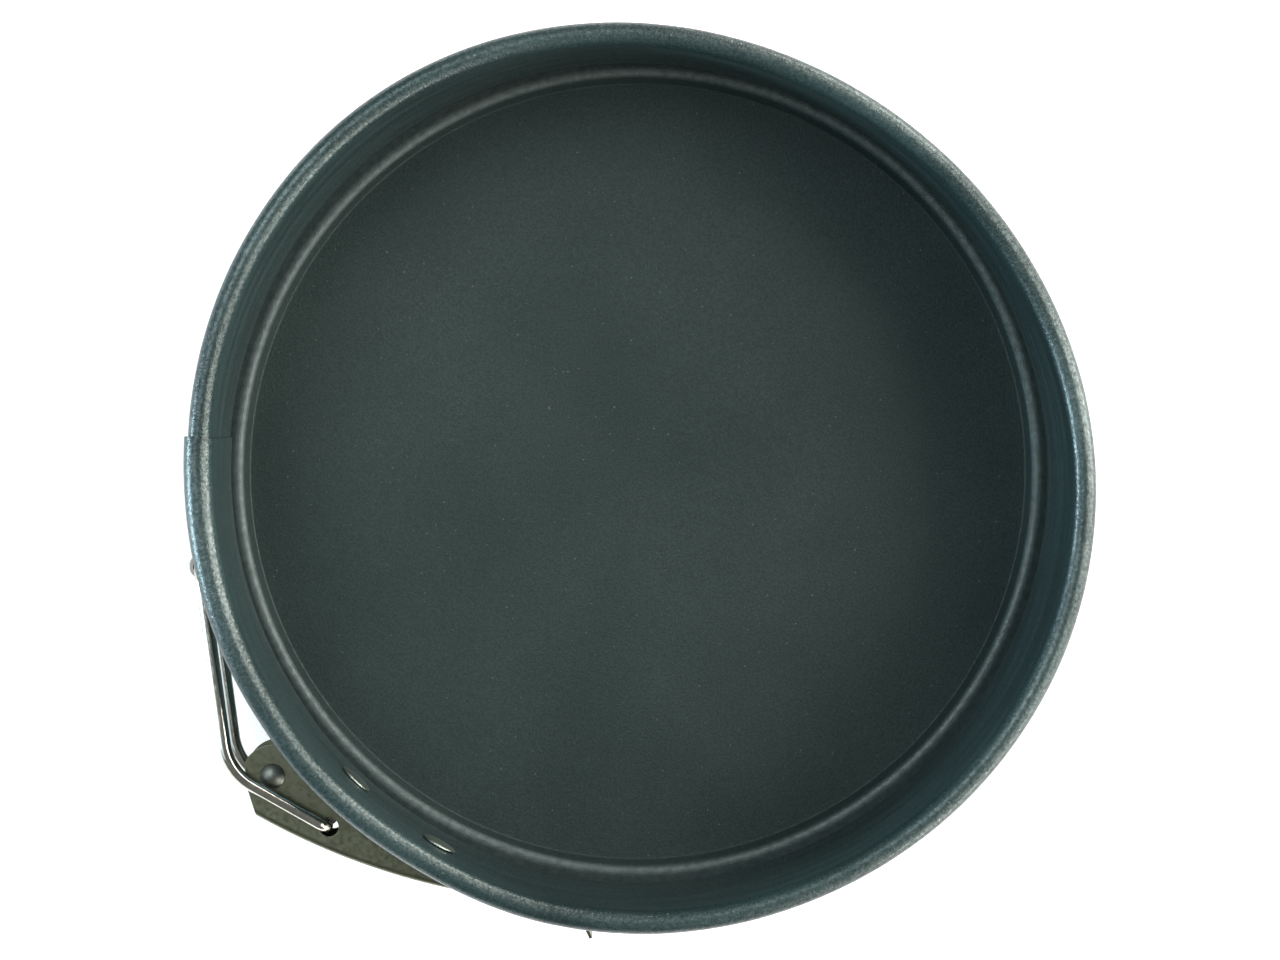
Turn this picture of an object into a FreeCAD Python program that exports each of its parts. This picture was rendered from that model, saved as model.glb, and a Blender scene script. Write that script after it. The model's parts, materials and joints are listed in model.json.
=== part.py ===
"""Springform pan: a loose base held in the groove of a spring-steel band with an over-centre latch.

Units are millimetres. +Z is up and the pan's axis is the Z axis. The origin is the centre of the
base's flat underside, so the pan stands on Z = 0. Azimuths are degrees about +Z from +X.
Each function builds one separate piece, and each piece is written to its own STEP file.
"""
import FreeCAD, Part
import math
import os

V = FreeCAD.Vector
UP = V(0, 0, 1)

# ---- pan ----
inner_radius = 130.0          # inside face of the wall: a 26 cm pan
pan_height = 65.0
band_sheet = 0.6
base_sheet = 0.8
lap_gap = 0.05                # clearance between the two lapped layers of the band

# ---- rolled rim and groove of the band ----
curl_radius = 3.5             # outside radius of the rolled rim
curl_end = -125.0             # where the rolled edge stops, degrees about the roll's centre
shoulder_height = 9.0         # the wall leaves the vertical here and slopes out to the groove
groove_top = 5.4
groove_bottom = 2.8
groove_depth = 2.3
lip_reach = 0.6               # how far the lower lip comes back inside the wall
lip_height = 1.6
groove_bend = 1.2             # inside radius of the groove's corners
shoulder_bend = 3.0           # radius where the wall turns out to the groove

# ---- base plate ----
base_edge_radius = 131.2
base_edge_height = 4.1
ridge_radius = 127.1          # the ridge's crest, before its corner is rounded
ridge_height = 5.5
floor_radius = 124.9
floor_bend = 0.8              # radius of the hollow where the floor meets the ridge
ridge_bend = 1.2              # radius of the crest on the underside

# ---- layout around the band ----
latch_azimuth = 191.7         # the bail hinge; the latch closes from here towards larger azimuths
flex_spread = 87.0            # the band bends this far either side of the latch
inner_end_azimuth = 175.0     # end of the inner layer, which carries the lever
outer_end_azimuth = 208.0     # end of the outer layer, which carries the bail
lap_end_azimuth = 210.0       # the inner layer is offset up to here
joggle_end_azimuth = 222.0    # and back on the pan's nominal circle from here
split_gap = 0.04              # parting between the rigid lengths of the band, degrees

# ---- latch ----
hinge_radius = 138.0
pivot_radius, pivot_azimuth = 146.4, 219.25
hook_radius, hook_azimuth = 145.0, 228.06
wire_radius = 2.0
wire_corner = V(-126.6, -91.0, 0)
wire_bend = 17.0
wire_end_bend = 2.6
wire_gap = 2.6                # height of a leg's centre line above or below the lever
wire_hook_depth = 5.2         # how far each wire end dips from its leg into the lever
latch_sheet = 1.0
lever_bottom, lever_top = 22.4, 43.6
lever_heel = 9.6              # radius of the lever's heel about its pivot
heel_turns = (155.0, 100.0, 52.0)   # start, middle and end of the heel's arc about the pivot
lever_heel_foot = V(-121.1, -96.6, 0)
lever_inner_radius = 134.0    # inner edge of the lever's flanges, about the pan's axis
lever_inner_azimuths = (222.5, 240.0, 257.0)
lever_inner_dip = 0.6         # the inner edge comes this much closer in at its far end
lever_corner = V(-118.5, -104.8, 0)
lever_middle = V(-66.3, -125.9, 0)
lever_end = V(-24.0, -132.3, 0)
lever_edge_bend = 1.8
thumb_length = 9.0
thumb_bend = 5.0
thumb_turn = 62.0             # degrees
thumb_root = 3.0              # the thumb tip starts this far back along the lever
thumb_inset = 1.2             # the thumb tip is this much narrower than the lever at each edge
hook_hole_radius = 3.0
ear_gap = 0.2
ear_round = 5.4
bracket_sheet = 1.2
bracket_start, bracket_neck, bracket_end = 215.4, 223.6, 246.5
bracket_low, bracket_high = 17.5, 46.5
pin_radius = 2.5
pin_head_radius = 3.9
pin_head_height = 1.5
pin_clearance = 0.04
pin_end_gap = 0.05            # between the lever and each head of its pin
knuckle_bore = 2.6
knuckle_low, knuckle_high = 24.6, 42.1
knuckle_tilt = 25.0           # slope of the sheet between the wall and the knuckle, degrees
knuckle_run = 7.8             # length of that slope
bail_plate_start, bail_plate_end = 178.5, 190.0

# ---- rivets that hold the lever bracket: name, azimuth, height ----
rivets = (("low", 227.0, 33.0), ("high", 241.3, 42.5))
rivet_shank = 2.0
rivet_clearance = 0.03
rivet_seat_gap = 0.02
drill_margin = 5.0            # rivet holes are drilled this far past the sheet on either side
rivet_head_radius = 5.5
rivet_head_height = 1.3
rivet_tail_radius = 3.4
rivet_tail_height = 1.3

outer_radius = inner_radius + band_sheet
curl_centre_r = inner_radius + curl_radius
curl_centre_z = pan_height - curl_radius


def polar(radius, azimuth, z=0.0):
    """Point at a radius and an azimuth about the pan's axis."""
    angle = math.radians(azimuth)
    return V(radius * math.cos(angle), radius * math.sin(angle), z)


def rz(r, z):
    """Point of a cross-section, drawn in the XZ plane."""
    return V(r, 0, z)


def left_normal(start, end):
    """Unit normal of a segment in the XZ plane, on the side that faces the inside of the pan."""
    run = (end - start).normalize()
    return V(run.z, 0, -run.x)


def shifted(points, distance):
    """The corner points of a line parallel to the given one."""
    result = []
    for i, point in enumerate(points):
        before = left_normal(points[max(i - 1, 0)], points[max(i, 1)])
        last = len(points) - 1
        after = left_normal(points[min(i, last - 1)], points[min(i + 1, last)])
        mitre = (before + after) * (1.0 / (1.0 + before.dot(after)))
        result.append(point + mitre * distance)
    return result


def rounded(points, bends, distance):
    """Edges of a line parallel to the given corner line, with its corners rounded.

    bends holds the radius of each corner on the given line, and distance is the parallel's offset.
    """
    moved = shifted(points, distance)
    edges = []
    start = moved[0]
    for i in range(1, len(points) - 1):
        incoming = (points[i] - points[i - 1]).normalize()
        outgoing = (points[i + 1] - points[i]).normalize()
        turns_to_inside = left_normal(points[i - 1], points[i]).dot(outgoing) > 0
        radius = bends[i - 1] + (-distance if turns_to_inside else distance)
        half = 0.5 * math.acos(max(-1.0, min(1.0, incoming.dot(outgoing))))
        tangent = radius * math.tan(half)
        first = moved[i] - incoming * tangent
        second = moved[i] + outgoing * tangent
        inward = (outgoing - incoming).normalize()
        middle = moved[i] + inward * (radius / math.cos(half) - radius)
        edges.append(Part.makeLine(start, first))
        edges.append(Part.Arc(first, middle, second).toShape())
        start = second
    edges.append(Part.makeLine(start, moved[-1]))
    return edges


def ends(edges):
    """First and last point of a chain of edges."""
    return edges[0].Vertexes[0].Point, edges[-1].Vertexes[-1].Point


def closed_face(edges):
    """Face inside a closed set of edges."""
    return Part.Face(Part.Wire(Part.sortEdges(edges)[0]))


def band_profile(offset):
    """Cross-section of the band at azimuth 0, moved towards the inside of the pan by offset."""
    wall = [
        rz(outer_radius, curl_centre_z),
        rz(outer_radius, shoulder_height),
        rz(outer_radius + groove_depth, groove_top + band_sheet),
        rz(outer_radius + groove_depth, groove_bottom - band_sheet),
        rz(inner_radius - lip_reach, lip_height - band_sheet),
    ]
    bends = [shoulder_bend, groove_bend + band_sheet, groove_bend + band_sheet]
    stop = math.radians(curl_end)
    edges = []
    tips = []
    for distance in (offset, offset + band_sheet):
        line = rounded(wall, bends, distance)
        radius = curl_radius - band_sheet + distance
        centre = rz(curl_centre_r, curl_centre_z)
        tip = centre + rz(radius * math.cos(stop), radius * math.sin(stop))
        half_turn = 0.5 * (math.pi + stop)
        middle = centre + rz(radius * math.cos(half_turn), radius * math.sin(half_turn))
        top = rz(curl_centre_r - radius, curl_centre_z)
        edges.append(Part.Arc(tip, middle, top).toShape())
        edges.extend(line)
        tips.append((tip, line[-1].Vertexes[-1].Point))
    edges.append(Part.makeLine(tips[0][0], tips[1][0]))
    edges.append(Part.makeLine(tips[0][1], tips[1][1]))
    return closed_face(edges)


def turned(shape, azimuth):
    """A copy of the shape, turned about the pan's axis."""
    copy = shape.copy()
    copy.rotate(V(0, 0, 0), UP, azimuth)
    return copy


def band_length(start, stop, offset=0.0):
    """The band between two azimuths."""
    profile = turned(band_profile(offset), start)
    return profile.revolve(V(0, 0, 0), UP, stop - start)


def band_joggle(start, stop, offset):
    """The band where its offset eases to zero."""
    steps = 6
    sections = []
    for i in range(steps + 1):
        share = i / steps
        ease = 0.5 + 0.5 * math.cos(math.pi * share)
        face = turned(band_profile(offset * ease), start + (stop - start) * share)
        sections.append(face.OuterWire)
    return Part.makeLoft(sections, True, False)


def radial_cylinder(radius, azimuth, height, start, stop):
    """Cylinder along the radius through a point of the wall, from start to stop."""
    direction = polar(1.0, azimuth)
    return Part.makeCylinder(radius, stop - start, polar(start, azimuth, height), direction)


def rivet_drill(azimuth, height):
    """Cylinder that cuts a rivet's hole through the wall and the bracket."""
    return radial_cylinder(rivet_shank + rivet_clearance, azimuth, height,
                           inner_radius - drill_margin, outer_radius + drill_margin)


def band_back():
    start = latch_azimuth + flex_spread - 360.0 + split_gap
    stop = latch_azimuth - flex_spread - split_gap
    return band_length(start, stop)


def band_bail_arm():
    return band_length(latch_azimuth - flex_spread, outer_end_azimuth)


def band_lever_arm():
    offset = band_sheet + lap_gap
    lapped = band_length(inner_end_azimuth, lap_end_azimuth, offset)
    joggle = band_joggle(lap_end_azimuth, joggle_end_azimuth, offset)
    plain = band_length(joggle_end_azimuth, latch_azimuth + flex_spread)
    arm = lapped.fuse([joggle, plain])
    for _, azimuth, height in rivets:
        arm = arm.cut(rivet_drill(azimuth, height))
    return arm


def base_plate():
    """Pressed plate: flat floor, a ridge around it, and an edge that sits in the band's groove."""
    underside = [
        rz(base_edge_radius, base_edge_height - base_sheet),
        rz(ridge_radius, ridge_height - base_sheet),
        rz(floor_radius, 0),
        rz(0, 0),
    ]
    bends = [ridge_bend, floor_bend + base_sheet]
    lower = rounded(underside, bends, 0.0)
    upper = rounded(underside, bends, base_sheet)
    low_edge, low_axis = ends(lower)
    high_edge, high_axis = ends(upper)
    rim = Part.makeLine(low_edge, high_edge)
    axis = Part.makeLine(low_axis, high_axis)
    face = closed_face(lower + upper + [rim, axis])
    return face.revolve(V(0, 0, 0), UP, 360)


def arc_strip(inner, outer, start, stop, low, high):
    """Curved plate between two radii, two azimuths and two heights."""
    section = Part.Wire(Part.makePolygon([
        rz(inner, low), rz(outer, low), rz(outer, high), rz(inner, high), rz(inner, low)]))
    return turned(Part.Face(section), start).revolve(V(0, 0, 0), UP, stop - start)


def pivot_point():
    return polar(pivot_radius, pivot_azimuth)


def hinge_point():
    return polar(hinge_radius, latch_azimuth)


def hook_point():
    return polar(hook_radius, hook_azimuth)


def lever_bracket():
    """Plate riveted to the wall, with two ears that carry the lever's pin."""
    inner = outer_radius + lap_gap
    outer = inner + bracket_sheet
    ear_high = lever_top - latch_sheet - ear_gap
    ear_low = lever_bottom + latch_sheet + ear_gap
    neck = arc_strip(inner, outer, bracket_start, bracket_neck, ear_low, ear_high)
    plate = arc_strip(inner, outer, bracket_neck, bracket_end, bracket_low, bracket_high)
    pivot = pivot_point()
    out = polar(1.0, pivot_azimuth)
    side = V(-out.y, out.x, 0)
    roots = [polar(inner + 0.5 * bracket_sheet, azimuth) for azimuth in (bracket_start, bracket_neck)]
    tip = pivot + out * ear_round
    root_middle = polar(inner + 0.5 * bracket_sheet, 0.5 * (bracket_start + bracket_neck))
    ear = closed_face([
        Part.makeLine(roots[0], pivot - side * ear_round),
        Part.Arc(pivot - side * ear_round, tip, pivot + side * ear_round).toShape(),
        Part.makeLine(pivot + side * ear_round, roots[1]),
        Part.Arc(roots[1], root_middle, roots[0]).toShape(),
    ])
    shape = neck.fuse(plate)
    for height in (ear_low, ear_high - latch_sheet):
        copy = ear.copy()
        copy.translate(V(0, 0, height))
        shape = shape.fuse(copy.extrude(UP * latch_sheet))
    shape = shape.removeSplitter()
    bore = pin_radius + pin_clearance
    shape = shape.cut(Part.makeCylinder(bore, pan_height, pivot))
    for _, azimuth, height in rivets:
        shape = shape.cut(rivet_drill(azimuth, height))
    return shape


def dome(radius, height, centre, direction):
    """Domed rivet head: a slice of a ball whose flat side is at the centre."""
    ball_radius = (radius * radius + height * height) / (2 * height)
    ball = Part.makeSphere(ball_radius, centre - direction * (ball_radius - height))
    keep = Part.makeCylinder(radius + 1, height + 1, centre, direction)
    return ball.common(keep)


def bracket_rivet(azimuth, height):
    """Rivet with a flat domed head inside the pan and a small formed head outside."""
    out = polar(1.0, azimuth)
    sagitta = rivet_head_radius ** 2 / (2 * inner_radius)
    head_seat = inner_radius - sagitta - rivet_seat_gap
    tail_seat = outer_radius + lap_gap + bracket_sheet + rivet_seat_gap
    shank = radial_cylinder(rivet_shank, azimuth, height, head_seat, tail_seat)
    head = dome(rivet_head_radius, rivet_head_height, polar(head_seat, azimuth, height), out * -1)
    tail = dome(rivet_tail_radius, rivet_tail_height, polar(tail_seat, azimuth, height), out)
    return shank.fuse([head, tail])


def lever_pivot_pin():
    """Pin through the lever and the bracket's ears, with a domed head at each end."""
    low = lever_bottom - pin_end_gap
    high = lever_top + pin_end_gap
    pivot = pivot_point()
    shank = Part.makeCylinder(pin_radius, high - low, pivot + UP * low)
    top = dome(pin_head_radius, pin_head_height, pivot + UP * high, UP)
    bottom = dome(pin_head_radius, pin_head_height, pivot + UP * low, UP * -1)
    return shank.fuse([top, bottom])


def web_arc():
    """Outer edge of the lever in plan, along which its web stands."""
    return Part.Arc(lever_corner, lever_middle, lever_end).toShape()


def lever_outline():
    """Plan of the lever's flanges, as a face at Z = 0."""
    pivot = pivot_point()
    heel_front, heel_middle, heel_back = [pivot + polar(lever_heel, turn) for turn in heel_turns]
    start, middle, stop = lever_inner_azimuths
    inner_start = polar(lever_inner_radius, start)
    inner_middle = polar(lever_inner_radius, middle)
    inner_stop = polar(lever_inner_radius - lever_inner_dip, stop)
    return closed_face([
        Part.makeLine(lever_corner, lever_heel_foot),
        Part.makeLine(lever_heel_foot, heel_front),
        Part.Arc(heel_front, heel_middle, heel_back).toShape(),
        Part.makeLine(heel_back, inner_start),
        Part.Arc(inner_start, inner_middle, inner_stop).toShape(),
        Part.makeLine(inner_stop, lever_end),
        web_arc(),
    ])


def on_web_rim(edge, web):
    """True for the long outer edges where the lever's flanges turn into its web."""
    if not isinstance(edge.Curve, Part.Circle) or abs(edge.Curve.Radius - web.Radius) > 0.01:
        return False
    return min(abs(edge.BoundBox.ZMin - z) for z in (lever_bottom, lever_top)) < 0.01


def thumb_tip():
    """Tip of the lever: a strip that runs on from the web and bends away from the wall."""
    along = (lever_end - web_arc().Curve.Center).normalize()
    run = V(-along.y, along.x, 0)
    turn = math.radians(thumb_turn)
    turn_centre = lever_end + along * thumb_bend
    out_dir = run * math.cos(turn) + along * math.sin(turn)
    edges = []
    caps = []
    for radius in (thumb_bend, thumb_bend + latch_sheet):
        first = turn_centre - along * radius
        root = first - run * thumb_root
        half = turn_centre - (along * math.cos(turn / 2) - run * math.sin(turn / 2)) * radius
        last = turn_centre - (along * math.cos(turn) - run * math.sin(turn)) * radius
        tip = last + out_dir * thumb_length
        edges.append(Part.makeLine(root, first))
        edges.append(Part.Arc(first, half, last).toShape())
        edges.append(Part.makeLine(last, tip))
        caps.append((root, tip))
    edges.append(Part.makeLine(caps[0][0], caps[1][0]))
    edges.append(Part.makeLine(caps[0][1], caps[1][1]))
    outline = closed_face(edges)
    outline.translate(UP * (lever_bottom + thumb_inset))
    return outline.extrude(UP * (lever_top - lever_bottom - 2 * thumb_inset))


def lever():
    """Sheet lever: two flanges joined by a web along the outer edge, and a thumb tip."""
    outline = lever_outline()
    outline.translate(UP * lever_bottom)
    body = outline.extrude(UP * (lever_top - lever_bottom))
    web = web_arc().Curve
    hollow_low = lever_bottom + latch_sheet
    hollow_high = lever_top - latch_sheet
    hollow = Part.makeCylinder(web.Radius - latch_sheet, hollow_high - hollow_low,
                               web.Center + UP * hollow_low)
    body = body.cut(hollow)
    bends = [edge for edge in body.Edges if on_web_rim(edge, web)]
    body = body.makeFillet(lever_edge_bend, bends).fuse(thumb_tip())
    bore = Part.makeCylinder(pin_radius + pin_clearance, pan_height, pivot_point())
    pull = (hook_point() - wire_corner).normalize()
    hook_centre = hook_point() + pull * (hook_hole_radius - wire_radius - lap_gap)
    hook_hole = Part.makeCylinder(hook_hole_radius, pan_height, hook_centre)
    return body.cut([bore, hook_hole])


def bail():
    """Wire loop: down through the bail bracket, and along two legs into the lever's flanges."""
    hinge = hinge_point()
    hook = hook_point()
    to_hinge = (hinge - wire_corner).normalize()
    to_hook = (hook - wire_corner).normalize()
    half = 0.5 * math.acos(to_hinge.dot(to_hook))
    tangent = wire_bend / math.tan(half)
    inward = (to_hinge + to_hook).normalize()
    centre = wire_corner + inward * (wire_bend / math.sin(half))
    leg = [wire_corner + to_hook * tangent, centre - inward * wire_bend,
           wire_corner + to_hinge * tangent]
    bend = wire_end_bend
    corner = bend * (1 - math.sqrt(0.5))
    path = []
    wire_top = lever_top + wire_gap
    wire_bottom = lever_bottom - wire_gap
    for z, way in ((wire_top, -1), (wire_bottom, 1)):
        lift = V(0, 0, z)
        turn = V(0, 0, way * bend)
        inset = V(0, 0, way * corner)
        path.append([
            Part.makeLine(hook + lift + V(0, 0, way * wire_hook_depth), hook + lift + turn),
            Part.Arc(hook + lift + turn, hook + lift + inset - to_hook * corner,
                     hook + lift - to_hook * bend).toShape(),
            Part.makeLine(hook + lift - to_hook * bend, leg[0] + lift),
            Part.Arc(leg[0] + lift, leg[1] + lift, leg[2] + lift).toShape(),
            Part.makeLine(leg[2] + lift, hinge + lift - to_hinge * bend),
            Part.Arc(hinge + lift - to_hinge * bend, hinge + lift + inset - to_hinge * corner,
                     hinge + lift + turn).toShape(),
        ])
    spindle = Part.makeLine(hinge + V(0, 0, wire_top - bend), hinge + V(0, 0, wire_bottom + bend))
    wire = Part.Wire(Part.sortEdges(path[0] + [spindle] + path[1])[0])
    start = hook + V(0, 0, wire_top - wire_hook_depth)
    circle = Part.Wire(Part.makeCircle(wire_radius, start, UP))
    return wire.makePipeShell([circle], True, True)


def bail_bracket():
    """Plate welded to the outside of the wall, with its end rolled round the bail."""
    inner = outer_radius + lap_gap
    outer = inner + bracket_sheet
    knuckle = knuckle_bore + bracket_sheet
    hinge = hinge_point() + UP * knuckle_low
    height = knuckle_high - knuckle_low
    plate = arc_strip(inner, outer, bail_plate_start, bail_plate_end, knuckle_low, knuckle_high)
    back = polar(1.0, latch_azimuth - 90.0 - knuckle_tilt)
    to_wall = polar(1.0, latch_azimuth + 180.0 - knuckle_tilt)
    near = hinge + to_wall * knuckle_bore
    far = hinge + to_wall * knuckle
    run = back * knuckle_run
    slope = Part.Face(Part.makePolygon([near, far, far + run, near + run, near]))
    roll = Part.makeCylinder(knuckle, height, hinge)
    shape = plate.fuse([roll, slope.extrude(UP * height)])
    shape = shape.cut([Part.makeCylinder(knuckle_bore, height, hinge),
                       Part.makeCylinder(inner, pan_height)])
    return shape.removeSplitter()


pieces = {
    "base_plate": base_plate(),
    "band_back": band_back(),
    "band_bail_arm": band_bail_arm(),
    "band_lever_arm": band_lever_arm(),
    "lever_bracket": lever_bracket(),
    "lever_pivot_pin": lever_pivot_pin(),
    "lever": lever(),
    "bail_bracket": bail_bracket(),
    "bail": bail(),
}
for rivet_name, rivet_azimuth, rivet_height in rivets:
    pieces["lever_bracket_rivet_" + rivet_name] = bracket_rivet(rivet_azimuth, rivet_height)

os.makedirs("parts", exist_ok=True)
for name, shape in pieces.items():
    print(name, "valid", shape.isValid(), "solids", len(shape.Solids), "mm3", round(shape.Volume, 1))
    shape.Solids[0].exportStep("parts/" + name + ".step")
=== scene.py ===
"""Looks of the springform pan: pressed base, lapped spring band with a rolled rim, and wire latch.

Lengths in the drawing functions are millimetres, and MM turns them into Blender's metres.
Azimuths are degrees about +Z from +X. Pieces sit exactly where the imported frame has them.
"""
import json
import math

import bmesh
import bpy
from mathutils import Matrix, Vector, noise


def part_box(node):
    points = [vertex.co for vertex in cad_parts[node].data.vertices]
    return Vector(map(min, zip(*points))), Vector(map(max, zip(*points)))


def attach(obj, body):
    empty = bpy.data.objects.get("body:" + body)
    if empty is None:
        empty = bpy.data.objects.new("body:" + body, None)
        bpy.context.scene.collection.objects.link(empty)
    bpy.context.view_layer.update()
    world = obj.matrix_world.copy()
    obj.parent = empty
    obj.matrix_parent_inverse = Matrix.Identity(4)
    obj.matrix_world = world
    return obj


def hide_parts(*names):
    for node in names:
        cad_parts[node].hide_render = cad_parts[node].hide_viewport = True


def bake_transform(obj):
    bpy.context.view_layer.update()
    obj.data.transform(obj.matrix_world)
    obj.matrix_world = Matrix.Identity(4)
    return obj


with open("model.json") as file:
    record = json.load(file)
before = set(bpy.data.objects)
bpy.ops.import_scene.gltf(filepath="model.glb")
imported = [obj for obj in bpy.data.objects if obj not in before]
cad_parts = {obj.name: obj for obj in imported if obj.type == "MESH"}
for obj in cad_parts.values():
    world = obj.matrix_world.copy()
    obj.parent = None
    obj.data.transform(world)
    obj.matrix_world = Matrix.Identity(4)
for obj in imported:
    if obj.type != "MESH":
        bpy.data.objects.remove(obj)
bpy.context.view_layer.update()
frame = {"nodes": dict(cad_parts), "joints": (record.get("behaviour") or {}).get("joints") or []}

MM = 0.001

# ---- band ----
INNER_RADIUS = 130.0
HEIGHT = 65.0
SHEET = 0.6
LAP_GAP = 0.05
CURL = 3.5
CURL_END = -125.0
SHOULDER_HEIGHT = 9.0
GROOVE_TOP = 5.4
GROOVE_BOTTOM = 2.8
GROOVE_DEPTH = 2.3
LIP_REACH = 0.6
LIP_HEIGHT = 1.6
SHOULDER_BEND = 3.0
GROOVE_BEND = 1.8
LATCH_AZIMUTH = 191.7
LATCH_MIDDLE = 214.0
INNER_END = 175.0
OUTER_END = 208.0
LAP_END = 210.0
JOGGLE_END = 222.0
CURL_EASE_END = 250.0
LAP_CURL_GROWTH = 0.9
SECTION_STEP = 0.5            # degrees between cross-sections of the band
CURL_STEPS = 30
WALL_STEP = 6.0               # longest mesh edge down the wall

# ---- unevenness of the used band ----
WAVES = ((0.22, 2.2, 45.0), (0.05, 9.0, 25.0))   # depth, waves around, wave height
WAVY_ABOVE, WAVY_RISE = 8.0, 40.0
SPRUNG = (                    # lobes around the ring, cosine's and sine's size
    (0, 0.5, 0.0),
    (1, -0.75, -1.05),
    (2, -0.15, -2.05),
    (3, 0.98, 0.0),
)
SPRUNG_ABOVE, SPRUNG_RISE = 6.0, 54.0
SPRUNG_LEAST = 0.25           # share of the rim's spring that the wall already has above the groove
GROOVE_CLEAR, GROOVE_FADE = 5.0, 3.0
LATCH_ROUND, LATCH_FADE = 20.0, 44.0             # degrees from the latch's middle

# ---- base plate ----
BASE_SHEET = 0.8
EDGE_RADIUS, EDGE_HEIGHT = 131.2, 4.1
RIDGE_RADIUS, RIDGE_HEIGHT = 127.1, 5.7
FLOOR_RADIUS = 124.9
RIDGE_BEND, FLOOR_BEND = 2.4, 1.6
RESTING_BELOW = 0.4 * BASE_SHEET    # the underside stays flat up to this height
MIDDLE_RADIUS = 0.5           # where the section ends, closed by a small flat face
BASE_COLUMNS = 540
BASE_BEND_STEPS = 9
BASE_STEP = 4.0               # longest mesh edge along the base's section
DENTS = (                     # x, y, size, depth
    (-12.0, 24.0, 17.0, -0.30),
    (-4.0, 12.0, 9.0, -0.12),
    (22.0, 40.0, 30.0, 0.15),
)
FLOOR_SPRING, FLOOR_SPRING_SIZE, FLOOR_SPRING_SLICE = 0.12, 70.0, 0.3
FLOOR_FLAT_FROM, FLOOR_FLAT_TO = 95.0, 120.0

# ---- latch ----
HOOK = (145.0, 228.06)
WIRE_RADIUS = 2.0
WIRE_CORNER = Vector((-126.6, -91.0, 0))
WIRE_BEND, WIRE_BEND_STEPS = 17.0, 16
WIRE_END_BEND = 2.6
WIRE_GAP = 2.6
HOOK_DEPTH = 5.2
HINGE_DEPTH = 5.0
WIRE_SIDES = 20
WIRE_NOSE = 0.35              # rounding of the wire's cut ends
WIRE_STEP = 4.0
RIVETS = (("low", 227.0, 33.0), ("high", 241.3, 42.5))   # name, azimuth, height
RIVET_HEAD, RIVET_TAIL, RIVET_SHANK = 5.5, 3.4, 2.0      # radii
RIVET_CROWN, RIVET_CORNER, RIVET_EDGE, RIVET_FLAT = 1.3, 0.12, 0.3, 0.05
RIVET_HEAD_SEAT = -0.14       # from the wall's inner face, pressed in a little
RIVET_TAIL_SEAT = 1.87        # wall, lap and bracket together
RIVET_STEPS, CROWN_STEPS = 64, 10             # around the rivet, over its crown


def polar(radius, azimuth, z=0.0):
    """Point at a radius and an azimuth in degrees around +Z."""
    angle = math.radians(azimuth)
    return Vector((radius * math.cos(angle), radius * math.sin(angle), z))


def ease(value, start, stop):
    """1 before start, 0 after stop, and smooth between them."""
    share = min(1.0, max(0.0, (value - start) / (stop - start)))
    return 0.5 + 0.5 * math.cos(math.pi * share)


# ---------------------------------------------------------------- mesh helpers

SMOOTH_ANGLE = 35.0
MERGE_DISTANCE = 1e-7         # metres
LEAST_BEND = 0.05


def new_piece(name, verts, faces, material):
    """Mesh object from millimetre points, smooth but for edges sharper than SMOOTH_ANGLE."""
    mesh = bpy.data.meshes.new(name)
    mesh.from_pydata([Vector(v) * MM for v in verts], [], faces)
    mesh.validate()
    tidy = bmesh.new()
    tidy.from_mesh(mesh)
    bmesh.ops.remove_doubles(tidy, verts=tidy.verts, dist=MERGE_DISTANCE)
    bmesh.ops.recalc_face_normals(tidy, faces=tidy.faces)
    tidy.to_mesh(mesh)
    tidy.free()
    mesh.shade_smooth()
    mesh.set_sharp_from_angle(angle=math.radians(SMOOTH_ANGLE))
    mesh.materials.append(material)
    piece = bpy.data.objects.new(name, mesh)
    bpy.context.scene.collection.objects.link(piece)
    return piece


def skin(sections):
    """Vertices and faces of a body through closed sections, with flat ends."""
    count = len(sections[0])
    last = (len(sections) - 1) * count
    verts = [point for section in sections for point in section]
    faces = []
    for here in range(0, last, count):
        there = here + count
        for j in range(count):
            k = (j + 1) % count
            faces.append((here + j, here + k, there + k, there + j))
    faces.append(tuple(range(count)))
    faces.append(tuple(last + j for j in reversed(range(count))))
    return verts, faces


def side(start, end):
    """Unit normal of a section's segment, towards the inside of the pan on the way down the wall."""
    run = (end - start).normalized()
    return Vector((run.y, -run.x))


def parallel(points, bends, shift, steps=7):
    """Points along a line parallel to a corner line in the section plane, its corners rounded."""
    moved = []
    for i, point in enumerate(points):
        last = len(points) - 1
        before = side(points[max(i - 1, 0)], points[max(i, 1)])
        after = side(points[min(i, last - 1)], points[min(i + 1, last)])
        moved.append(point + (before + after) * (shift / (1.0 + before.dot(after))))
    result = [moved[0]]
    for i in range(1, len(points) - 1):
        incoming = (points[i] - points[i - 1]).normalized()
        outgoing = (points[i + 1] - points[i]).normalized()
        inside = side(points[i - 1], points[i]).dot(outgoing) > 0
        radius = max(LEAST_BEND, bends[i - 1] + (-shift if inside else shift))
        half = 0.5 * incoming.angle(outgoing)
        inward = (outgoing - incoming).normalized()
        centre = moved[i] + inward * (radius / math.cos(half))
        first = moved[i] - incoming * (radius * math.tan(half)) - centre
        turn = 2 * half * (1 if incoming.x * outgoing.y - incoming.y * outgoing.x > 0 else -1)
        for k in range(steps + 1):
            angle = turn * k / steps
            c, s = math.cos(angle), math.sin(angle)
            result.append(centre + Vector((first.x * c - first.y * s, first.x * s + first.y * c)))
    result.append(moved[-1])
    return result


def subdivide(points, longest):
    """Adds points so that no step of the line is longer than the given length."""
    result = [points[0]]
    for start, end in zip(points, points[1:]):
        parts = max(1, math.ceil((end - start).length / longest))
        result.extend(start.lerp(end, k / parts) for k in range(1, parts + 1))
    return result


# ---------------------------------------------------------------- band

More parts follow.
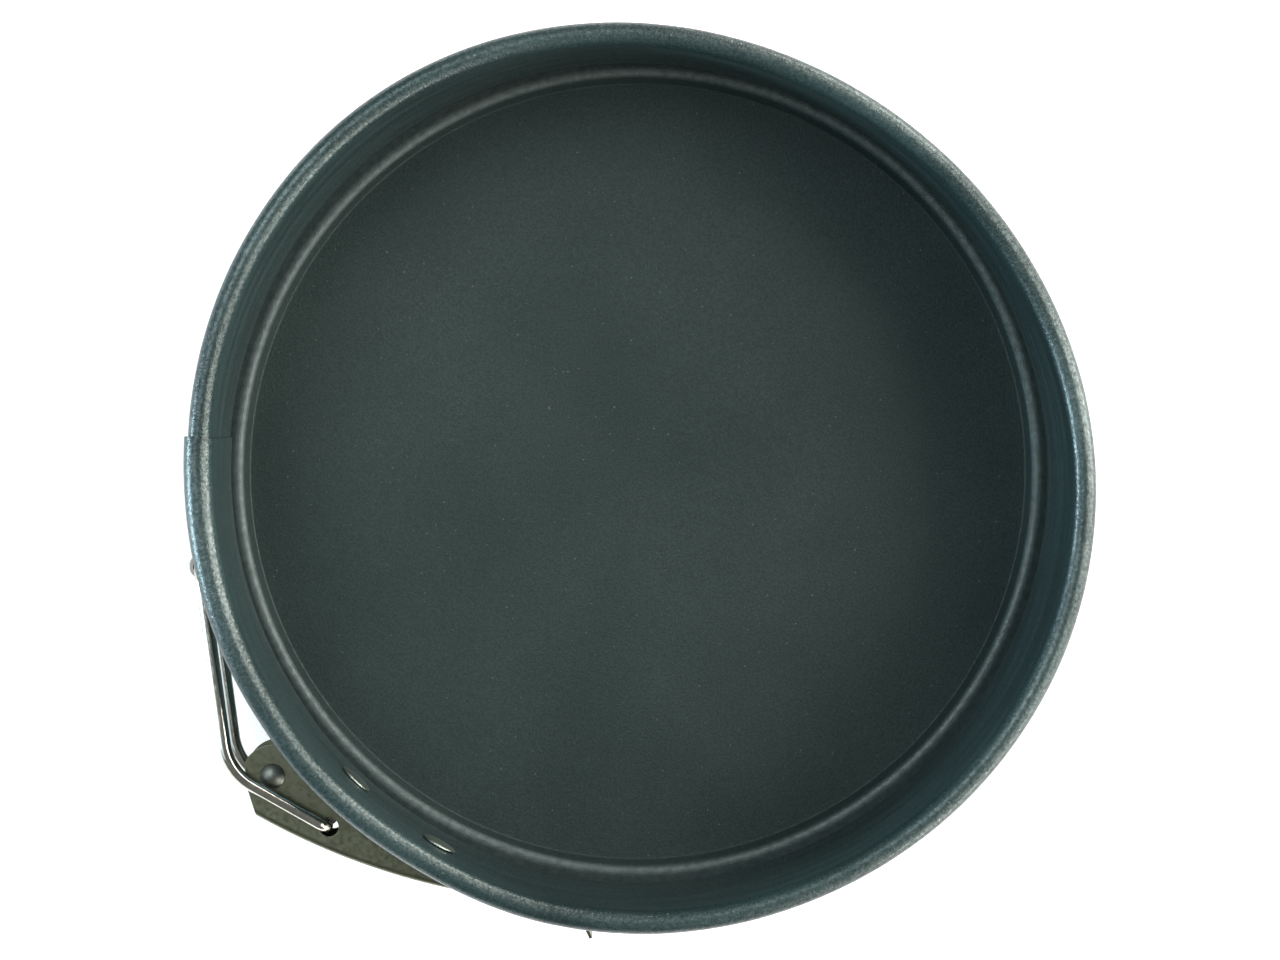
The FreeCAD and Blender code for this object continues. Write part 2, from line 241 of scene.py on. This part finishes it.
def band_section(lap, growth):
    """Closed section of the band as (radius, height) points."""
    outer = INNER_RADIUS + SHEET
    wall = [
        Vector((outer, HEIGHT - CURL)),
        Vector((outer, SHOULDER_HEIGHT)),
        Vector((outer + GROOVE_DEPTH, GROOVE_TOP + SHEET)),
        Vector((outer + GROOVE_DEPTH, GROOVE_BOTTOM - SHEET)),
        Vector((INNER_RADIUS - LIP_REACH, LIP_HEIGHT - SHEET)),
    ]
    bends = (SHOULDER_BEND, GROOVE_BEND, GROOVE_BEND)
    centre = Vector((INNER_RADIUS - lap + CURL + growth, HEIGHT - CURL))
    loop = []
    for face in (0, 1):
        radius = CURL + growth - SHEET * (1 - face)
        line = []
        for k in range(CURL_STEPS):
            angle = math.radians(CURL_END + (180.0 - CURL_END) * k / CURL_STEPS)
            line.append(centre + Vector((math.cos(angle), math.sin(angle))) * radius)
        line += subdivide(parallel(wall, bends, lap + SHEET * face), WALL_STEP)
        loop += line if face == 0 else line[::-1]
    return loop


def rise(value, start, length):
    """0 up to start, then straight up to 1 over the length."""
    return min(1.0, max(0.0, (value - start) / length))


def sheet_waviness(azimuth, z):
    """Small unevenness of rolled sheet, zero at the base's groove, in millimetres."""
    depth = sum(size * noise.noise(polar(around, azimuth, z / tall)) for size, around, tall in WAVES)
    return depth * rise(z, WAVY_ABOVE, WAVY_RISE)


def out_of_round(azimuth, z):
    """How far the used ring has sprung from a true circle: most at the rim, none at the latch."""
    turn = math.radians(azimuth)
    bulge = sum(c * math.cos(lobes * turn) + s * math.sin(lobes * turn) for lobes, c, s in SPRUNG)
    free = 1.0 - ease(abs(azimuth % 360.0 - LATCH_MIDDLE), LATCH_ROUND, LATCH_FADE)
    height = SPRUNG_LEAST + (1.0 - SPRUNG_LEAST) * rise(z, SPRUNG_ABOVE, SPRUNG_RISE)
    return bulge * free * height * rise(z, GROOVE_CLEAR, GROOVE_FADE)


def band_side(name, start, stop, lapped, material):
    """One half of the strip between two azimuths; a lapped one steps inwards behind the other's end."""
    sections = []
    steps = round((stop - start) / SECTION_STEP)
    for i in range(steps + 1):
        azimuth = start + (stop - start) * i / steps
        lap = (SHEET + LAP_GAP) * ease(azimuth, LAP_END, JOGGLE_END) if lapped else 0.0
        growth = LAP_CURL_GROWTH * ease(azimuth, INNER_END, CURL_EASE_END) if lapped else 0.0
        section = []
        for r, z in band_section(lap, growth):
            r += sheet_waviness(azimuth, z) + out_of_round(azimuth, z)
            section.append(polar(r, azimuth, z))
        sections.append(section)
    verts, faces = skin(sections)
    return new_piece(name, verts, faces, material)


def build_band(material):
    """The strip in two halves that meet opposite the latch."""
    seam = LATCH_AZIMUTH - 180.0
    halves = (
        ("band_bail_side", seam, OUTER_END, False, "ring_bail_arm", -1,
         ("band_bail_arm", "band_back")),
        ("band_lever_side", INNER_END, seam + 360.0, True, "ring_lever_arm", 1,
         ("band_lever_arm",)),
    )
    for name, start, stop, lapped, arm, way, nodes in halves:
        piece = band_side(name, start, stop, lapped, material)
        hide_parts(*nodes)
        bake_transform(piece)


# ---------------------------------------------------------------- base plate

def floor_unevenness(x, y):
    """Shallow dents and slight spring of the pressed floor, in millimetres."""
    radius = math.hypot(x, y)
    fade = ease(radius, FLOOR_FLAT_FROM, FLOOR_FLAT_TO)
    place = Vector((x / FLOOR_SPRING_SIZE, y / FLOOR_SPRING_SIZE, FLOOR_SPRING_SLICE))
    height = FLOOR_SPRING * noise.noise(place)
    for cx, cy, size, depth in DENTS:
        height += depth * math.exp(-((x - cx) ** 2 + (y - cy) ** 2) / (2 * size * size))
    return fade * height


def build_base(material):
    """The pressed disc: its section turned about +Z, with the floor slightly uneven on top."""
    under = [
        Vector((EDGE_RADIUS, EDGE_HEIGHT - BASE_SHEET)),
        Vector((RIDGE_RADIUS, RIDGE_HEIGHT - BASE_SHEET)),
        Vector((FLOOR_RADIUS, 0)),
        Vector((MIDDLE_RADIUS, 0)),
    ]
    bends = (RIDGE_BEND, FLOOR_BEND)
    lower = subdivide(parallel(under, bends, 0.0, BASE_BEND_STEPS), BASE_STEP)
    upper = subdivide(parallel(under, bends, BASE_SHEET, BASE_BEND_STEPS), BASE_STEP)
    verts = []
    for i in range(BASE_COLUMNS):
        azimuth = 360.0 * i / BASE_COLUMNS
        for r, z in lower + upper[::-1]:
            point = polar(r, azimuth, z)
            if z > RESTING_BELOW:
                point.z += floor_unevenness(point.x, point.y)
            verts.append(point)
    count = len(lower) + len(upper)
    middle_low = len(lower) - 1
    middle_high = len(lower)
    faces = []
    for i in range(BASE_COLUMNS):
        here, there = i * count, ((i + 1) % BASE_COLUMNS) * count
        for j in range(count):
            k = (j + 1) % count
            if j != middle_low:
                faces.append((here + j, here + k, there + k, there + j))
    faces.append(tuple(i * count + middle_low for i in range(BASE_COLUMNS)))
    faces.append(tuple(i * count + middle_high for i in reversed(range(BASE_COLUMNS))))
    piece = new_piece("base_plate_pressing", verts, faces, material)
    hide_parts("base_plate")
    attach(piece, "base")


# ---------------------------------------------------------------- bail

def joint(name):
    """The frame's joint of that name."""
    return next(j for j in frame["joints"] if j["name"] == name)


def arc_points(start, corner, end, radius, steps=10):
    """Points of the round bend that a path makes at a corner, both tangent points included."""
    a = (start - corner).normalized()
    b = (end - corner).normalized()
    half = 0.5 * a.angle(b)
    centre = corner + (a + b).normalized() * (radius / math.sin(half))
    first = corner + a * (radius / math.tan(half))
    last = corner + b * (radius / math.tan(half))
    axis = (first - centre).cross(last - centre).normalized()
    turn = (first - centre).angle(last - centre)
    u = (first - centre).normalized()
    v = axis.cross(u)
    return [centre + (u * math.cos(turn * k / steps) + v * math.sin(turn * k / steps)) * radius
            for k in range(steps + 1)]


def wire_sections(path):
    """Round sections along a path, with slightly rounded ends."""
    tangents = []
    for i in range(len(path)):
        tangents.append((path[min(i + 1, len(path) - 1)] - path[max(i - 1, 0)]).normalized())
    normal = tangents[0].orthogonal().normalized()
    frames = []
    for tangent in tangents:
        normal = (normal - tangent * normal.dot(tangent)).normalized()
        frames.append((normal, tangent.cross(normal)))
    end_radius = WIRE_RADIUS - WIRE_NOSE
    rings = [(path[0], frames[0], end_radius)]
    rings.append((path[0] + tangents[0] * WIRE_NOSE, frames[0], WIRE_RADIUS))
    rings += [(path[i], frames[i], WIRE_RADIUS) for i in range(1, len(path) - 1)]
    rings.append((path[-1] - tangents[-1] * WIRE_NOSE, frames[-1], WIRE_RADIUS))
    rings.append((path[-1], frames[-1], end_radius))
    turns = [2 * math.pi * k / WIRE_SIDES for k in range(WIRE_SIDES)]
    sections = []
    for centre, (u, v), size in rings:
        sections.append([centre + (u * math.cos(a) + v * math.sin(a)) * size for a in turns])
    return sections


def build_bail(material):
    """One wire: a hook in the lever, a leg, through the knuckle, and back to the lever's other hole."""
    hinge = Vector(joint("bail_swing")["pos_m"]) / MM
    hook = polar(*HOOK)
    low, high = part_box("lever")
    path = []
    for level, way in ((high.z / MM + WIRE_GAP, -1), (low.z / MM - WIRE_GAP, 1)):
        lift = Vector((0, 0, level))
        into_lever = hook + lift + Vector((0, 0, way * HOOK_DEPTH))
        down = Vector((hinge.x, hinge.y, level + way * HINGE_DEPTH))
        at_hinge = Vector((hinge.x, hinge.y, level))
        corner = WIRE_CORNER + lift
        leg = [into_lever]
        leg += arc_points(into_lever, hook + lift, corner, WIRE_END_BEND)
        leg += arc_points(hook + lift, corner, at_hinge, WIRE_BEND, WIRE_BEND_STEPS)
        leg += arc_points(corner, at_hinge, down, WIRE_END_BEND)
        path += leg if way < 0 else leg[::-1]
    path = subdivide(path, WIRE_STEP)
    verts, faces = skin(wire_sections(path))
    piece = new_piece("bail_wire", verts, faces, material)
    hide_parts("bail")
    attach(piece, "bail")


# ---------------------------------------------------------------- rivets

def lathe(profile, origin, axis):
    """Vertices and faces of a closed turned shape: profile is (radius, distance along the axis)."""
    u = axis.orthogonal().normalized()
    v = axis.cross(u)
    sections = []
    for i in range(RIVET_STEPS):
        a = 2 * math.pi * i / RIVET_STEPS
        out = u * math.cos(a) + v * math.sin(a)
        sections.append([origin + out * r + axis * d for r, d in profile])
    count = len(profile)
    verts = [point for section in sections for point in section]
    faces = []
    for i in range(RIVET_STEPS):
        here, there = i * count, ((i + 1) % RIVET_STEPS) * count
        for j in range(count - 1):
            faces.append((here + j, here + j + 1, there + j + 1, there + j))
    faces.append(tuple(i * count for i in reversed(range(RIVET_STEPS))))
    faces.append(tuple(i * count + count - 1 for i in range(RIVET_STEPS)))
    return verts, faces


def dome_profile(radius, seat):
    """Domed head from its seat: a short straight edge, then a crown that ends in a tiny flat."""
    points = [
        (radius - RIVET_CORNER, seat),
        (radius, seat + RIVET_CORNER),
        (radius, seat + RIVET_EDGE),
    ]
    for k in range(1, CROWN_STEPS + 1):
        a = 0.5 * math.pi * k / CROWN_STEPS
        height = seat + RIVET_EDGE + (RIVET_CROWN - RIVET_EDGE) * math.sin(a)
        points.append((max(RIVET_FLAT, radius * math.cos(a)), height))
    return points


def build_rivets(material):
    """Two rivets through wall, lap and bracket: a wide head inside the pan, a small one outside."""
    head_seat = INNER_RADIUS + RIVET_HEAD_SEAT
    tail_seat = INNER_RADIUS + RIVET_TAIL_SEAT
    inside = [(r, head_seat - d) for r, d in reversed(dome_profile(RIVET_HEAD, 0.0))]
    outside = dome_profile(RIVET_TAIL, tail_seat)
    profile = inside + [(RIVET_SHANK, head_seat), (RIVET_SHANK, tail_seat)] + outside
    for name, azimuth, height in RIVETS:
        verts, faces = lathe(profile, Vector((0, 0, height)), polar(1.0, azimuth))
        piece = new_piece("rivet_" + name, verts, faces, material)
        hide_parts("lever_bracket_rivet_" + name)
        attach(piece, "ring_lever_arm")


# ---------------------------------------------------------------- materials

# Scales of the noises, in features per metre, and how far some are drawn out into lines.
CLOUDS, SMUDGES, MARKS = 14.0, 30.0, 60.0
RING_LINES, RING_STRETCH = 26.0, (0.6, 0.6, 6.5)
DRAWN_LINES, DRAWN_STRETCH = 700.0, (1.0, 1.0, 14.0)
PAINTED_LIGHT_PATCHES, GLINTS, SPECKS, GRAIN, FROST = 420.0, 950.0, 1100.0, 1600.0, 2400.0

SPECULAR_TINT = (0.85, 1.0, 0.98, 1.0)
SPECK_COLOUR = (0.16, 0.19, 0.18)
# Painted light on the base's ridge, whose flank lies in shade by the wall: a lighter colour and a
# higher gloss, faded in over a short width.
PAINTED_LIGHT_COLOUR = (0.034, 0.050, 0.050)
RIDGE_GLOSS = (0.75, 0.75, 0.75)
PAINTED_LIGHT_FADE = 1.2             # width over which the band of painted light begins
FROSTING = 0.09               # how far the coating's roughness varies
LINES_SMOOTHER, LINES_ROUGHER, LINES_STRENGTH = 0.06, 0.10, 0.10
GRAIN_DEPTH, LINE_DEPTH, BROKEN_EDGE = 0.0002, 0.0001, 0.0003   # metres


def node_material(name, metallic, roughness):
    material = bpy.data.materials.new(name)
    material.use_nodes = True
    nodes = material.node_tree.nodes
    shader = nodes["Principled BSDF"]
    shader.inputs["Metallic"].default_value = metallic
    shader.inputs["Roughness"].default_value = roughness
    return material, nodes, material.node_tree.links, shader


def object_noise(nodes, links, scale, detail=4.0, stretch=None):
    place = nodes.new("ShaderNodeTexCoord")
    source = place.outputs["Object"]
    if stretch:
        mapping = nodes.new("ShaderNodeMapping")
        mapping.inputs["Scale"].default_value = stretch
        links.new(source, mapping.inputs["Vector"])
        source = mapping.outputs["Vector"]
    texture = nodes.new("ShaderNodeTexNoise")
    texture.inputs["Scale"].default_value = scale
    texture.inputs["Detail"].default_value = detail
    links.new(source, texture.inputs["Vector"])
    return texture.outputs["Fac"]


def ramp(nodes, links, source, stops):
    """Colour ramp through (position, value or colour) stops."""
    node = nodes.new("ShaderNodeValToRGB")
    node.color_ramp.elements.remove(node.color_ramp.elements[0])
    for i, (position, value) in enumerate(stops):
        element = node.color_ramp.elements[0] if i == 0 else node.color_ramp.elements.new(position)
        element.position = position
        colour = value if isinstance(value, tuple) else (value, value, value)
        element.color = (*colour, 1.0)
    links.new(source, node.inputs["Fac"])
    return node.outputs["Color"]


def colour_socket(sockets, name):
    """A Mix node has sockets of the same name for every data type: this finds the colour one."""
    return next(s for s in sockets if s.name == name and s.type == "RGBA")


def mix_colour(nodes, links, factor, first, second, mode="MIX"):
    """Mix of two colours, each a socket or a tuple, by a factor that is a socket or a number."""
    node = nodes.new("ShaderNodeMix")
    node.data_type = "RGBA"
    node.blend_type = mode
    colour_a = colour_socket(node.inputs, "A")
    colour_b = colour_socket(node.inputs, "B")
    for socket, value in ((node.inputs[0], factor), (colour_a, first), (colour_b, second)):
        if isinstance(value, float):
            socket.default_value = value
        elif isinstance(value, tuple):
            socket.default_value = (*value, 1.0)
        else:
            links.new(value, socket)
    return colour_socket(node.outputs, "Result")


def multiply(nodes, links, first, second):
    return mix_colour(nodes, links, 1.0, first, second, "MULTIPLY")


def bump(nodes, links, shader, height, strength, distance):
    node = nodes.new("ShaderNodeBump")
    node.inputs["Strength"].default_value = strength
    node.inputs["Distance"].default_value = distance
    links.new(height, node.inputs["Height"])
    links.new(node.outputs["Normal"], shader.inputs["Normal"])
    return node


def painted_light_ring(nodes, links, radius):
    """Mask of painted light on the base's ridge around +Z: 0 within the radius, patchy beyond it."""
    place = nodes.new("ShaderNodeTexCoord")
    flat = nodes.new("ShaderNodeVectorMath")
    flat.operation = "MULTIPLY"
    flat.inputs[1].default_value = (1.0, 1.0, 0.0)
    links.new(place.outputs["Object"], flat.inputs[0])
    length = nodes.new("ShaderNodeVectorMath")
    length.operation = "LENGTH"
    links.new(flat.outputs["Vector"], length.inputs[0])
    band = nodes.new("ShaderNodeMapRange")
    band.inputs["From Min"].default_value = radius * MM
    band.inputs["From Max"].default_value = (radius + PAINTED_LIGHT_FADE) * MM
    links.new(length.outputs["Value"], band.inputs["Value"])
    patches = object_noise(nodes, links, PAINTED_LIGHT_PATCHES, detail=5.0)
    patchy = ramp(nodes, links, patches, ((0.35, 0.55), (0.62, 1.0)))
    return multiply(nodes, links, band.outputs["Result"], patchy)


def coated_steel(name, dark, light, roughness, grain_strength, specular, glint, streaks,
                 grazing_glare=1.0, painted_light_from=None):
    """Baked non-stick coating: fine grain, cloudy tone, lines from drawing and a few pale specks.

    specular varies by glint from spot to spot, streaks is the strength of the lines, grazing_glare
    is the share of the gloss left at a low angle, and painted_light_from is the radius where painted
    light begins: a lighter, glossier band on the ridge.
    """
    material, nodes, links, shader = node_material(name, 0.0, roughness)
    shader.inputs["Specular Tint"].default_value = SPECULAR_TINT

    clouds = object_noise(nodes, links, CLOUDS, detail=5.0)
    tone = ramp(nodes, links, clouds, ((0.35, dark), (0.68, light)))
    grain = object_noise(nodes, links, GRAIN, detail=2.0)
    grain_tone = ramp(nodes, links, grain, ((0.30, 0.72), (0.70, 1.28)))
    grained = multiply(nodes, links, tone, grain_tone)
    rings = object_noise(nodes, links, RING_LINES, stretch=RING_STRETCH)
    ring_tone = ramp(nodes, links, rings, ((0.35, 1.0 - streaks), (0.65, 1.0 + streaks)))
    streaked = multiply(nodes, links, grained, ring_tone)
    specks = object_noise(nodes, links, SPECKS, detail=0.0)
    speck_mask = ramp(nodes, links, specks, ((0.82, 0.0), (0.86, 0.35)))
    colour = mix_colour(nodes, links, speck_mask, streaked, SPECK_COLOUR)

    glints = object_noise(nodes, links, GLINTS, detail=3.0)
    glint_level = ramp(nodes, links, glints, ((0.35, specular - glint), (0.65, specular + glint)))
    slant = nodes.new("ShaderNodeLayerWeight")
    glare = ramp(nodes, links, slant.outputs["Facing"], ((0.55, 1.0), (0.80, grazing_glare)))
    gloss = multiply(nodes, links, multiply(nodes, links, glint_level, ring_tone), glare)

    # Painted light: the ridge's crest and outer flank, shaded by the wall, get a lighter colour in
    # patches and a higher gloss.
    if painted_light_from:
        painted_light = painted_light_ring(nodes, links, painted_light_from)
        colour = mix_colour(nodes, links, painted_light, colour, PAINTED_LIGHT_COLOUR)
        gloss = mix_colour(nodes, links, painted_light, gloss, RIDGE_GLOSS)
    links.new(colour, shader.inputs["Base Color"])
    links.new(gloss, shader.inputs["Specular IOR Level"])

    frost = object_noise(nodes, links, FROST, detail=1.0)
    frosted = ramp(nodes, links, frost, ((0.35, roughness - FROSTING), (0.65, roughness + FROSTING)))
    smudge = object_noise(nodes, links, SMUDGES, detail=6.0)
    smudged = ramp(nodes, links, smudge, ((0.3, 0.93), (0.7, 1.09)))
    links.new(multiply(nodes, links, frosted, smudged), shader.inputs["Roughness"])
    bump(nodes, links, shader, grain, grain_strength, GRAIN_DEPTH)
    return material


def bright_steel(name, colour, roughness, dulling=0.72):
    """Bright sheet or wire: drawn lines, handling marks, and edges softly broken in the light."""
    material, nodes, links, shader = node_material(name, 1.0, roughness)
    marks = object_noise(nodes, links, MARKS, detail=6.0)
    dull = tuple(dulling * c for c in colour)
    tone = ramp(nodes, links, marks, ((0.35, dull), (0.60, colour)))
    links.new(tone, shader.inputs["Base Color"])
    lines = object_noise(nodes, links, DRAWN_LINES, detail=3.0, stretch=DRAWN_STRETCH)
    smooth, rough = roughness - LINES_SMOOTHER, roughness + LINES_ROUGHER
    roughnesses = ramp(nodes, links, lines, ((0.3, smooth), (0.7, rough)))
    links.new(roughnesses, shader.inputs["Roughness"])
    lined = bump(nodes, links, shader, lines, LINES_STRENGTH, LINE_DEPTH)
    broken = nodes.new("ShaderNodeBevel")
    broken.inputs["Radius"].default_value = BROKEN_EDGE
    links.new(broken.outputs["Normal"], lined.inputs["Normal"])
    return material


def finish_cad_node(name, material):
    """Gives a CAD piece, whose shape stays as it is, its material."""
    piece = frame["nodes"][name]
    piece.data.materials.clear()
    piece.data.materials.append(material)


# ---------------------------------------------------------------- stage

WORLD_COLOUR = (0.96, 1.0, 0.96, 1.0)
WORLD_GLOW = 0.22             # what the room adds to the light on the pan
BACKDROP_GLOW = 0.80          # how pale the room looks behind the pan
FLOOR_SIZE, FLOOR_DROP = 8.0, 0.0004
FLOOR_ROUGHNESS, FLOOR_SHADES, FLOOR_GLOW = 0.85, 3.0, 0.30

LIGHT_DISTANCE = 1.8
LIGHT_AIM = Vector((0, 0, 0.03))
WARM = (1.0, 0.92, 0.87)
COOL = (0.70, 0.87, 1.0)
NEUTRAL = (0.93, 0.97, 1.0)
LIGHTS = (                    # name, azimuth, elevation, size, power, colour
    ("window_right_low", 5, 15, (1.0, 0.6), 36.0, WARM),
    ("window_right_high", 5, 45, (1.0, 0.8), 30.0, WARM),
    ("front_right_low", -45, 15, (1.0, 0.6), 24.0, WARM),
    ("front_right_high", -45, 45, (1.0, 0.8), 8.0, WARM),
    ("back_right_low", 55, 15, (1.0, 0.6), 30.0, WARM),
    ("back_right_high", 50, 50, (0.9, 0.7), 12.0, WARM),
    ("lamp_left", 185, 12, (0.5, 0.28), 36.0, COOL),
    ("card_left", 190, 32, (0.9, 1.1), 5.0, COOL),
    ("ceiling_left", 152, 60, (0.9, 0.9), 16.0, NEUTRAL),
)


def area_light(name, azimuth, elevation, size, power, colour):
    """Soft light at LIGHT_DISTANCE from the pan, facing it."""
    level = math.radians(elevation)
    away = polar(math.cos(level), azimuth, math.sin(level))
    light = bpy.data.lights.new(name, "AREA")
    light.shape = "RECTANGLE"
    light.size, light.size_y = size
    light.energy = power
    light.color = colour
    holder = bpy.data.objects.new(name, light)
    holder.location = LIGHT_AIM + away * LIGHT_DISTANCE
    holder.rotation_euler = away.to_track_quat("Z", "Y").to_euler()
    bpy.context.scene.collection.objects.link(holder)


def build_world():
    """Dim even light all round, which the camera alone sees as a pale backdrop."""
    world = bpy.data.worlds.new("studio")
    bpy.context.scene.world = world
    world.use_nodes = True
    nodes, links = world.node_tree.nodes, world.node_tree.links
    background = nodes["Background"]
    background.inputs["Color"].default_value = WORLD_COLOUR
    rays = nodes.new("ShaderNodeLightPath")
    glow = nodes.new("ShaderNodeMix")
    glow.inputs["A"].default_value = WORLD_GLOW
    glow.inputs["B"].default_value = BACKDROP_GLOW
    links.new(rays.outputs["Is Camera Ray"], glow.inputs["Factor"])
    links.new(glow.outputs["Result"], background.inputs["Strength"])


def build_stage():
    """Pale floor under the pan, the room's light and the lamps."""
    bpy.context.scene.view_settings.view_transform = "Standard"
    build_world()
    bpy.ops.mesh.primitive_plane_add(size=FLOOR_SIZE, location=(0, 0, -FLOOR_DROP))
    floor = bpy.context.object
    floor.name = "studio_floor"
    paint, nodes, links, shader = node_material("studio_floor", 0.0, FLOOR_ROUGHNESS)
    shades = object_noise(nodes, links, FLOOR_SHADES)
    tone = ramp(nodes, links, shades, ((0.3, 0.86), (0.7, 0.90)))
    links.new(tone, shader.inputs["Base Color"])
    links.new(tone, shader.inputs["Emission Color"])
    shader.inputs["Emission Strength"].default_value = FLOOR_GLOW
    floor.data.materials.append(paint)
    for light in LIGHTS:
        area_light(*light)


# ---------------------------------------------------------------- camera

LENS, SENSOR = 91.7, 36.0
CAMERA_PLACE = Vector((-0.0188, 0.0206, 1.046))
CAMERA_AIM = Vector((0.0004, -0.0024, 0.0045))


def build_camera():
    """Camera over the pan, looking almost straight down, with +Y up in the picture."""
    camera = bpy.data.cameras.new("camera")
    camera.lens = LENS
    camera.sensor_width = SENSOR
    holder = bpy.data.objects.new("camera", camera)
    holder.location = CAMERA_PLACE
    back = (CAMERA_PLACE - CAMERA_AIM).normalized()
    right = Vector((0, 1, 0)).cross(back).normalized()
    upward = back.cross(right)
    holder.rotation_euler = Matrix((right, upward, back)).transposed().to_euler()
    bpy.context.scene.collection.objects.link(holder)
    bpy.context.scene.camera = holder


# ---------------------------------------------------------------- the pan

wall_coating = coated_steel(
    "coated_wall", dark=(0.008, 0.019, 0.0195), light=(0.013, 0.026, 0.0264), roughness=0.35,
    grain_strength=0.55, specular=0.6, glint=0.26, streaks=0.25)
# The floor's coating carries painted light on the base's ridge, from a radius of 125.8 mm outwards.
floor_coating = coated_steel(
    "coated_floor", dark=(0.0130, 0.0230, 0.0222), light=(0.0185, 0.0300, 0.0290), roughness=0.45,
    grain_strength=0.6, specular=0.2, glint=0.015, streaks=0.0, grazing_glare=0.15,
    painted_light_from=125.8)
lever_steel = bright_steel("lever_steel", (0.135, 0.147, 0.103), 0.36, dulling=0.86)
bracket_steel = bright_steel("bracket_steel", (0.42, 0.42, 0.38), 0.34)
wire_steel = bright_steel("wire_steel", (0.60, 0.59, 0.53), 0.13)
rivet_steel = bright_steel("rivet_steel", (0.25, 0.30, 0.27), 0.40)
pin_steel = bright_steel("pin_steel", (0.17, 0.19, 0.17), 0.40)

build_band(wall_coating)
build_base(floor_coating)
build_bail(wire_steel)
build_rivets(rivet_steel)
finish_cad_node("lever", lever_steel)
finish_cad_node("lever_bracket", bracket_steel)
finish_cad_node("bail_bracket", bracket_steel)
finish_cad_node("lever_pivot_pin", pin_steel)
build_stage()
build_camera()
